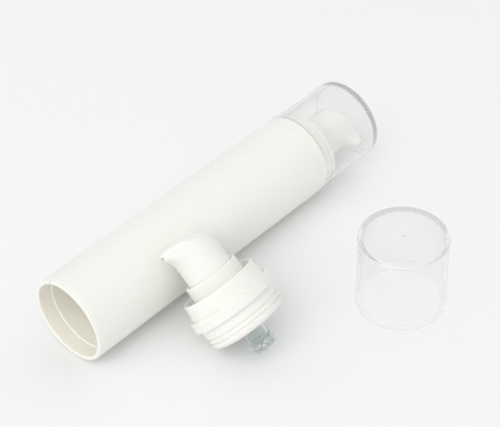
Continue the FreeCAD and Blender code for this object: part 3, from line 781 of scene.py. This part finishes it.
@dataclass
class Bottle(SubAssembly):
    """The open-ended barrel and the follower piston inside it, in millimetres from the open end.

    Attributes:
        radius: Outside of the barrel.
        length: From the open end to the neck's rim.
        bore: Radius of the bore that the follower runs in.
        neck_bore: Radius of the bore that holds the pump's plug.
        neck_depth: Depth of that bore.
        mouth_bore: Radius of the wider mouth at the open end.
        mouth_depth: Depth of the mouth.
        rim_step: How much slimmer the rim is than the barrel.
        rim_height: Height of the slimmer rim.
        rim_rounding: Rounding of the rim's edges.
        vent_width: Width of the notch in the rim.
        vent_depth: Depth of the notch in the rim.
    """

    radius: float = 16.0
    length: float = 110.4
    bore: float = 14.1
    neck_bore: float = 14.35
    neck_depth: float = 8.9
    mouth_bore: float = 14.4
    mouth_depth: float = 5.6
    rim_step: float = 0.2
    rim_height: float = 1.2
    rim_rounding: float = 0.4
    vent_width: float = 0.9
    vent_depth: float = 1.0

    VENT_TURN = 90.0

    def outline(self) -> TurnedOutline:
        """Section of the barrel's wall.

        Returns:
            The outline.
        """
        rim = self.radius - self.rim_step
        step = self.mouth_bore - self.bore
        neck_floor = self.length - self.neck_depth
        return TurnedOutline([
            Corner(self.mouth_bore, 0.0, self.rim_rounding), Corner(rim, 0.0, self.rim_rounding),
            Corner(rim, self.rim_height), Corner(self.radius, self.rim_height, CRISP),
            Corner(self.radius, self.length, SLIM), Corner(self.neck_bore, self.length, FINE),
            Corner(self.neck_bore, neck_floor), Corner(self.bore, neck_floor - self.neck_bore + self.bore),
            Corner(self.bore, self.mouth_depth + step, FILLET),
            Corner(self.mouth_bore, self.mouth_depth, FILLET)])

    def build(self) -> None:
        """Turn the barrel with its vent notch, and take over the follower."""
        half = math.degrees(math.atan2(self.vent_width / 2, self.radius))
        vent = Sector(self.VENT_TURN - half, self.VENT_TURN + half,
                      lambda radius, height: (radius, max(height, self.vent_depth)))
        mesh = turned_mesh("bottle_tube_wall", self.outline(), sectors=[vent])
        self.seat(mesh, "bottle", "bottle_tube", Slot.BOTTLE, roll=-self.VENT_TURN)
        self.keep("follower_piston", Slot.PISTON)


@dataclass
class Overcap(SubAssembly):
    """A clear overcap, in millimetres from its rim.

    Attributes:
        seating: Which of the two overcaps this is.
        radius: Outside of the rim band.
        height: From the rim to the end.
        wall: Thickness of the side wall.
        ceiling: Thickness of the end.
        draft: How much slimmer the wall is at the end than at the band.
        rim_height: Height of the rim band.
        rim_step: How far the band stands out from the wall.
        mouth_step: How much wider the mouth is than the bore.
        mouth_depth: Depth of the mouth.
        gate_radius: Radius of the gate mark in the end.
        gate_depth: Depth of the gate mark.
    """

    seating: Seating = Seating.FITTED
    radius: float = 16.0
    height: float = 29.2
    wall: float = 1.45
    ceiling: float = 1.5
    draft: float = 0.15
    rim_height: float = 2.9
    rim_step: float = 0.1
    mouth_step: float = 0.3
    mouth_depth: float = 3.1
    gate_radius: float = 0.9
    gate_depth: float = 0.2

    def outline(self) -> TurnedOutline:
        """Section of the cap from its axis to its wall.

        Returns:
            The outline.
        """
        side = self.radius - self.rim_step
        bore = side - self.wall
        mouth = bore + self.mouth_step
        gate_floor = self.height - self.gate_depth
        under = self.height - self.ceiling
        return TurnedOutline([
            Corner(mouth, 0.0, SLIM), Corner(self.radius, 0.0, SLIGHT),
            Corner(self.radius, self.rim_height, HAIR), Corner(side, self.rim_height + self.rim_step),
            Corner(side - self.draft, self.height, SOFT), Corner(self.gate_radius, self.height, HAIR),
            Corner(self.gate_radius, gate_floor, HAIR), Corner(0.0, gate_floor), Corner(0.0, under),
            Corner(bore - self.draft, under, INNER), Corner(bore, self.mouth_depth + self.mouth_step),
            Corner(mouth, self.mouth_depth)])

    def build(self) -> None:
        """Turn the cap."""
        node = self.seating.value + "overcap"
        body = "spare_cap" if self.seating is Seating.LOOSE else "cap"
        self.seat(turned_mesh(f"{node}_wall", self.outline()), body, node, Slot.CAP)


@dataclass
class Pump(SubAssembly):
    """A pump, in millimetres along its axis from the flange's underside.

    Attributes:
        seating: Which of the two pumps this is.
        flange_radius: Outside of the collar's flange.
        flange_bore: Inside of the collar's flange.
        flange_height: Height of the flange.
        flange_bore_depth: Depth of the flange's inside.
        band_base: Radius of the drafted band at the flange.
        band_crest: Radius of the drafted band at its top.
        band_bore: Inside of the band.
        band_top: Height of the band's top.
        dish_floor: Height of the floor between band and tower.
        dish_wall: Thickness of that floor.
        tower_radius: Outside of the tower that guides the head.
        tower_bore: Inside of that tower.
        tower_top: Height of the tower's top.
        tower_foot: Height of the tower's lower end.
        bead_low: Lower end of the snap beads on the band.
        bead_high: Upper end of the snap beads.
        bead_proud: How far a bead stands out at its lower end.
        bead_sweep: Angle that one bead takes, in degrees.
        bead_turn: Angle of the first bead from the beak, in degrees.
        plug_radius: Outside of the ribbed plug.
        plug_depth: Depth of the plug under the flange.
        plug_wall: Thickness of the plug's skirt.
        plug_rounding: Rounding of the plug's lower edge.
        groove_cut: Depth of the two grooves in the plug.
        groove_width: Width of a groove.
        upper_ring: Height of the plug's first ring.
        middle_ring: Height of the plug's second ring.
        deck: Thickness of the plug's deck.
        seat_ring_radius: Outside of the ring that stands on the deck.
        seat_ring_bore: Inside of that ring.
        seat_ring_height: Height of that ring.
        sleeve_bore: Bore of the sleeve that holds the chamber.
        sleeve_wall: Thickness of the sleeve.
        sleeve_length: Length of the sleeve.
        chamber_bore: Bore of the pump chamber.
        chamber_radius: Outside of the chamber.
        chamber_end: Height of the chamber's lower end.
        chamber_port: Radius of the port in the chamber's floor.
        chamber_floor: Thickness of that floor.
        rim_radius: Radius of the chamber's flange.
        rim_low: Height of that flange's underside.
        rim_high: Height of that flange's top.
        foot_radius: Outside of the inlet seat.
        foot_end: Height of the inlet seat's lower end.
        foot_play: Gap between the chamber and the inlet seat's socket.
        ball_pocket: Radius of the pocket that holds the inlet ball.
        inlet_port: Radius of the inlet.
        cone_high: Height of the ball seat's wide end.
        spring_low: Lower end of the return spring.
        spring_high: Upper end of the return spring.
        spring_radius: Radius of the coil's centre line.
        wire: Thickness of the spring wire.
        stroke: Travel of the head; not used.
    """

    seating: Seating = Seating.FITTED
    flange_radius: float = 15.85
    flange_bore: float = 13.25
    flange_height: float = 4.1
    flange_bore_depth: float = 3.3
    band_base: float = 14.5
    band_crest: float = 14.0
    band_bore: float = 13.1
    band_top: float = 9.8
    dish_floor: float = 7.8
    dish_wall: float = 1.2
    tower_radius: float = 10.1
    tower_bore: float = 8.8
    tower_top: float = 14.2
    tower_foot: float = 3.4
    bead_low: float = 5.5
    bead_high: float = 6.7
    bead_proud: float = 0.28
    bead_sweep: float = 18.0
    bead_turn: float = 33.5
    plug_radius: float = 14.3
    plug_depth: float = 8.3
    plug_wall: float = 2.5
    plug_rounding: float = 2.2
    groove_cut: float = 0.5
    groove_width: float = 0.7
    upper_ring: float = 3.5
    middle_ring: float = 1.1
    deck: float = 1.6
    seat_ring_radius: float = 13.2
    seat_ring_bore: float = 11.6
    seat_ring_height: float = 3.2
    sleeve_bore: float = 4.2
    sleeve_wall: float = 1.1
    sleeve_length: float = 6.0
    chamber_bore: float = 3.4
    chamber_radius: float = 4.15
    chamber_end: float = -14.55
    chamber_port: float = 0.6
    chamber_floor: float = 0.8
    rim_radius: float = 8.4
    rim_low: float = 0.8
    rim_high: float = 2.0
    foot_radius: float = 4.8
    foot_end: float = -17.35
    foot_play: float = 0.05
    ball_pocket: float = 1.1
    inlet_port: float = 0.5
    cone_high: float = -16.15
    spring_low: float = 3.45
    spring_high: float = 15.95
    spring_radius: float = 3.9
    wire: float = 0.7
    stroke: float = 5.0

    KEPT = {"gasket": Slot.SEAL, "lock_ring": Slot.PUMP, "stem": Slot.PUMP, "pump_piston": Slot.PISTON,
            "valve_pin": Slot.PUMP, "actuator": Slot.PUMP, "inlet_ball": Slot.BALL}
    BEAD_TURNS = (60.0, 180.0, 300.0)
    BEAD_EDGE = 0.02
    ON_BAND = 1e-3
    COIL_TURNS = 6
    COIL_STEPS = 40
    DEAD_PITCH = 1.1
    WIRE_SIDES = 14

    def build(self) -> None:
        """Take over the small pieces, turn the round shells and wind the spring."""
        prefix = self.seating.value
        for node, slot in self.KEPT.items():
            self.keep(prefix + node, slot)
        half = self.bead_sweep / 2
        beads = [Sector(turn - half, turn + half, self.raise_bead) for turn in self.BEAD_TURNS]
        roll = self.bead_turn - self.BEAD_TURNS[0]
        collar = turned_mesh(f"{prefix}collar_shell", self.collar_outline(), sectors=beads)
        self.seat(collar, self.carrier, f"{prefix}collar", Slot.PUMP, roll)
        for node, outline, slot in (("pump_seat", self.plug_outline(), Slot.PUMP),
                                    ("chamber", self.chamber_outline(), Slot.CHAMBER),
                                    ("inlet_seat", self.foot_outline(), Slot.CHAMBER)):
            shell = turned_mesh(f"{prefix}{node}_shell", outline)
            self.seat(shell, self.carrier, f"{prefix}{node}", slot)
        self.wind_spring()

    @property
    def carrier(self) -> str:
        """Body that carries the pump's fixed pieces."""
        return "spare_pump" if self.seating is Seating.LOOSE else "bottle"

    def band_radius(self, height: float) -> float:
        """Radius of the drafted band at a height."""
        share = (height - self.flange_height) / (self.band_top - self.flange_height)
        return self.band_base + (self.band_crest - self.band_base) * share

    def raise_bead(self, radius: float, height: float) -> tuple[float, float]:
        """Move a point of the band out to the face of a snap bead.

        Args:
            radius: Radius of the point.
            height: Height of the point.

        Returns:
            The point's new radius and its height.
        """
        inset = self.BEAD_EDGE / 2
        outside = abs(radius - self.band_radius(height)) < self.ON_BAND
        if outside and self.bead_low + inset < height < self.bead_high - inset:
            share = (height - self.bead_low) / (self.bead_high - self.bead_low)
            radius = self.band_radius(self.bead_low) + self.bead_proud * (1.0 - share)
        return radius, height

    def collar_outline(self) -> TurnedOutline:
        """Section of flange, band, dish and tower.

        Returns:
            The outline.
        """
        bead = [Corner(self.band_radius(height), height) for height in (
            self.bead_low, self.bead_low + self.BEAD_EDGE, self.bead_high - self.BEAD_EDGE, self.bead_high)]
        under = self.dish_floor - self.dish_wall
        return TurnedOutline([
            Corner(self.flange_bore, 0.0), Corner(self.flange_radius, 0.0, EDGE),
            Corner(self.flange_radius, self.flange_height, EDGE),
            Corner(self.band_base, self.flange_height), *bead,
            Corner(self.band_crest, self.band_top, EDGE), Corner(self.band_bore, self.band_top, EDGE),
            Corner(self.band_bore, self.dish_floor, FILLET),
            Corner(self.tower_radius, self.dish_floor, FILLET),
            Corner(self.tower_radius, self.tower_top, SOFT), Corner(self.tower_bore, self.tower_top, SOFT),
            Corner(self.tower_bore, self.tower_foot), Corner(self.tower_radius, self.tower_foot),
            Corner(self.tower_radius, under), Corner(self.band_bore, under),
            Corner(self.band_bore, self.flange_bore_depth),
            Corner(self.flange_bore, self.flange_bore_depth)])

    def plug_outline(self) -> TurnedOutline:
        """Section of the ribbed plug, its deck, its ring and its sleeve.

        Returns:
            The outline.
        """
        groove = self.plug_radius - self.groove_cut
        skirt = self.plug_radius - self.plug_wall
        sleeve = self.sleeve_bore + self.sleeve_wall
        ring = [Corner(self.plug_radius, 0.0)]
        height = 0.0
        for ring_height in (self.upper_ring, self.middle_ring):
            height -= ring_height
            ring += [Corner(self.plug_radius, height, RING), Corner(groove, height, SLIM)]
            height -= self.groove_width
            ring += [Corner(groove, height, SLIM), Corner(self.plug_radius, height, RING)]
        ring[-1] = Corner(self.plug_radius, height, CRISP)
        return TurnedOutline([
            Corner(self.seat_ring_bore, self.seat_ring_height, FINE),
            Corner(self.seat_ring_radius, self.seat_ring_height, FINE), Corner(self.seat_ring_radius, 0.0),
            *ring, Corner(self.plug_radius, -self.plug_depth, self.plug_rounding),
            Corner(skirt, -self.plug_depth, SLIGHT), Corner(skirt, -self.deck, FILLET),
            Corner(sleeve, -self.deck, FILLET), Corner(sleeve, -self.sleeve_length, SLIGHT),
            Corner(self.sleeve_bore, -self.sleeve_length, FINE), Corner(self.sleeve_bore, 0.0),
            Corner(self.seat_ring_bore, 0.0)])

    def chamber_outline(self) -> TurnedOutline:
        """Section of the pump chamber with its flange and its floor.

        Returns:
            The outline.
        """
        floor = self.chamber_end + self.chamber_floor
        return TurnedOutline([
            Corner(self.chamber_bore, self.rim_high), Corner(self.rim_radius, self.rim_high),
            Corner(self.rim_radius, self.rim_low), Corner(self.chamber_radius, self.rim_low),
            Corner(self.chamber_radius, self.chamber_end, FINE),
            Corner(self.chamber_port, self.chamber_end), Corner(self.chamber_port, floor),
            Corner(self.chamber_bore, floor, EDGE)])

    def foot_outline(self) -> TurnedOutline:
        """Section of the inlet seat with its socket, its ball pocket and its cone.

        Returns:
            The outline.
        """
        top = self.chamber_end + self.chamber_floor
        socket = self.chamber_radius + self.foot_play
        cone_low = self.cone_high - self.ball_pocket + self.inlet_port
        return TurnedOutline([
            Corner(self.inlet_port, self.foot_end), Corner(self.foot_radius, self.foot_end, EDGE),
            Corner(self.foot_radius, top, SLIGHT), Corner(socket, top, FINE),
            Corner(socket, self.chamber_end),
            Corner(self.ball_pocket, self.chamber_end), Corner(self.ball_pocket, self.cone_high),
            Corner(self.inlet_port, cone_low)])

    def coil_line(self) -> list[Vector]:
        """Centre line of the spring: a dead turn at each end and an even pitch between them.

        Returns:
            Its points, in millimetres.
        """
        low = self.spring_low + self.wire / 2
        high = self.spring_high - self.wire / 2
        dead = self.DEAD_PITCH * self.wire
        ends = 1.0 / self.COIL_TURNS
        count = self.COIL_TURNS * self.COIL_STEPS
        line = []
        for number in range(count + 1):
            share = number / count
            around = 2 * math.pi * self.COIL_TURNS * share
            if share < ends:
                height = low + dead * share / ends
            elif share > 1 - ends:
                height = high - dead * (1 - share) / ends
            else:
                height = low + dead + (high - low - 2 * dead) * (share - ends) / (1 - 2 * ends)
            line.append(Vector((self.spring_radius * math.cos(around),
                                self.spring_radius * math.sin(around), height)))
        return line

    def wind_spring(self) -> None:
        """Sweep a round wire along the coil."""
        line = self.coil_line()
        sides = self.WIRE_SIDES
        bench = bmesh.new()
        rings = []
        for index, spot in enumerate(line):
            before = line[max(index - 1, 0)]
            after = line[min(index + 1, len(line) - 1)]
            way = (after - before).normalized()
            out = Vector((spot.x, spot.y, 0.0)).normalized()
            across = way.cross(out).normalized()
            ring = []
            for side in range(sides):
                turn = 2 * math.pi * side / sides
                offset = (out * math.cos(turn) + across * math.sin(turn)) * self.wire / 2
                ring.append(bench.verts.new((spot + offset) * MM))
            rings.append(ring)
        for ring, following in zip(rings, rings[1:]):
            for side in range(sides):
                after = (side + 1) % sides
                bench.faces.new((ring[side], ring[after], following[after], following[side]))
        bench.faces.new(rings[0])
        bench.faces.new(rings[-1])
        prefix = self.seating.value
        mesh = finished_mesh(f"{prefix}return_spring_coil", bench)
        coil = self.seat(mesh, self.carrier, f"{prefix}return_spring", Slot.SPRING)
        foot = self.place.matrix() @ Vector((0.0, 0.0, self.spring_low * MM))
        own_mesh(coil)


@dataclass(frozen=True)
class SoftBox:
    """A wide, square soft light.

    Attributes:
        name: Name of the lamp.
        spot: Where it hangs, in metres.
        energy: Its power, in watts.
        aim: Point that it faces, in metres.
        span: Length of its sides, in metres.
    """

    name: str
    spot: Triple
    energy: float
    aim: Triple = (0.0, 0.03, 0.0)
    span: float = 1.6

    def hang(self) -> None:
        """Put the lamp in the scene."""
        data = bpy.data.lights.new(self.name, "AREA")
        data.shape = "SQUARE"
        data.size = self.span
        data.energy = self.energy
        turn = (Vector(self.spot) - Vector(self.aim)).to_track_quat("Z", "Y")
        new_object(self.name, data, Matrix.Translation(self.spot) @ turn.to_matrix().to_4x4())


@dataclass
class Studio:
    """Floor, lights and camera, with the camera as in the photograph.

    Attributes:
        azimuth: Camera's azimuth, in degrees.
        elevation: Camera's elevation, in degrees.
        roll: Camera's roll, in degrees.
        distance: From the target to the camera, in millimetres.
        target: Point on the floor that the camera looks at, in millimetres.
        focal_pixels: Focal length in pixels of the photograph.
        picture_width: Width of the photograph, in pixels.
        sensor: Width of the camera's sensor, in millimetres.
        floor_span: Length of the floor's sides, in metres.
        horizon: Light from the horizon.
        zenith: Light from overhead.
    """

    azimuth: float = -45.764
    elevation: float = 42.155
    roll: float = -2.017
    distance: float = 567.45
    target: Triple = (20.20, 36.30, 0.0)
    focal_pixels: float = 1516.95
    picture_width: float = 500.0
    sensor: float = 36.0
    floor_span: float = 6.0
    horizon: Triple = (0.69, 0.69, 0.695)
    zenith: Triple = (0.79, 0.79, 0.79)

    # One box to the left that looks into the open end, and one overhead in front
    BOXES = (SoftBox("left_soft_box", (-1.45, -0.15, 1.55), 14.5),
             SoftBox("overhead_soft_box", (-0.35, -0.75, 1.85), 3.0))

    def build(self) -> None:
        """Set up everything that isn't part of the object."""
        bpy.context.scene.view_settings.view_transform = "Standard"
        self.add_camera()
        self.add_floor()
        for box in self.BOXES:
            box.hang()
        self.add_surroundings()

    def add_camera(self) -> None:
        """Camera at the photograph's viewing angle."""
        turn = math.radians(self.azimuth)
        lift = math.radians(self.elevation)
        tilt = math.radians(self.roll)
        back = Vector((math.sin(turn) * math.cos(lift), -math.cos(turn) * math.cos(lift), math.sin(lift)))
        level = Vector((math.cos(turn), math.sin(turn), 0.0))
        upright = back.cross(level)
        right = level * math.cos(tilt) + upright * math.sin(tilt)
        up = upright * math.cos(tilt) - level * math.sin(tilt)
        data = bpy.data.cameras.new("photo_camera")
        data.sensor_fit = "HORIZONTAL"
        data.sensor_width = self.sensor
        data.lens = self.focal_pixels / self.picture_width * self.sensor
        shift = Matrix.Translation((Vector(self.target) + back * self.distance) * MM)
        turned = Matrix((right, up, back)).transposed().to_4x4()
        bpy.context.scene.camera = new_object("photo_camera", data, shift @ turned)

    def add_floor(self) -> None:
        """Plain pale floor under the set."""
        half = self.floor_span / 2
        corners = [(-half, -half, 0.0), (half, -half, 0.0), (half, half, 0.0), (-half, half, 0.0)]
        mesh = bpy.data.meshes.new("studio_floor")
        mesh.from_pydata(corners, [], [(0, 1, 2, 3)])
        mesh.materials.append(PAPER.material())
        floor = new_object("studio_floor", mesh, Matrix.Identity(4))

    def add_surroundings(self) -> None:
        """Even soft light from all round, a little dimmer near the horizon."""
        world = bpy.data.worlds.new("studio_surroundings")
        world.use_nodes = True
        bench = NodeBench(world.node_tree)
        way = bench.add("ShaderNodeTexCoord").outputs["Generated"]
        height = bench.add("ShaderNodeSeparateXYZ", {0: way}).outputs["Z"]
        share = bench.ranged(height, 0.0, 0.8)
        tone = bench.mixed(share, opaque(self.horizon), opaque(self.zenith))
        glow = bench.add("ShaderNodeBackground", {"Color": tone, "Strength": 1.0})
        bench.add("ShaderNodeOutputWorld", {"Surface": glow.outputs[0]})
        bpy.context.scene.world = world


def pump_place(hinge: str, side: Triple) -> Place:
    """Place of a pump, from the hinge that its head turns on.

    Args:
        hinge: Name of the joint in the frame.
        side: Direction of local X.

    Returns:
        The place.
    """
    joint = next(joint for joint in frame["joints"] if joint["name"] == hinge)
    return Place(tuple(part / MM for part in joint["pos_m"]), tuple(joint["axis"]), side)


VENT_SIDE = heading(90.0, 65.0)
FITTED_PUMP_PLACE = pump_place("head_swivel", heading(-90.0, -18.6))
BOTTLE_PLACE = FITTED_PUMP_PLACE.along(-Bottle.length, VENT_SIDE)
FITTED_CAP_PLACE = FITTED_PUMP_PLACE.along(Pump.flange_height, VENT_SIDE)
LOOSE_PUMP_PLACE = pump_place("spare_head_swivel", heading(184.3))
LOOSE_CAP_PLACE = Place((22.75, -33.45, 0.0), (0.0, 0.0, 1.0), (1.0, 0.0, 0.0))


def write_sizes(groups: Sequence[SubAssembly]) -> None:
    """Gather the coordinates of every vertex of the visual model, axis by axis.

    Args:
        groups: The sub-assemblies of the visual model.
    """
    axes = list(zip(*(spot for group in groups for spot in group.spots())))


def main() -> None:
    """Build the sub-assemblies in order, dress them and set up the studio."""
    logging.basicConfig(level=logging.INFO, format="%(name)s: %(message)s")
    groups = [Bottle(BOTTLE_PLACE), Pump(FITTED_PUMP_PLACE), Overcap(FITTED_CAP_PLACE),
              Pump(LOOSE_PUMP_PLACE, seating=Seating.LOOSE),
              Overcap(LOOSE_CAP_PLACE, seating=Seating.LOOSE)]
    for group in groups:
        group.build()
        group.dress()
    Studio().build()
    bpy.context.view_layer.update()
    write_sizes(groups)


if __name__ == "__main__":
    main()
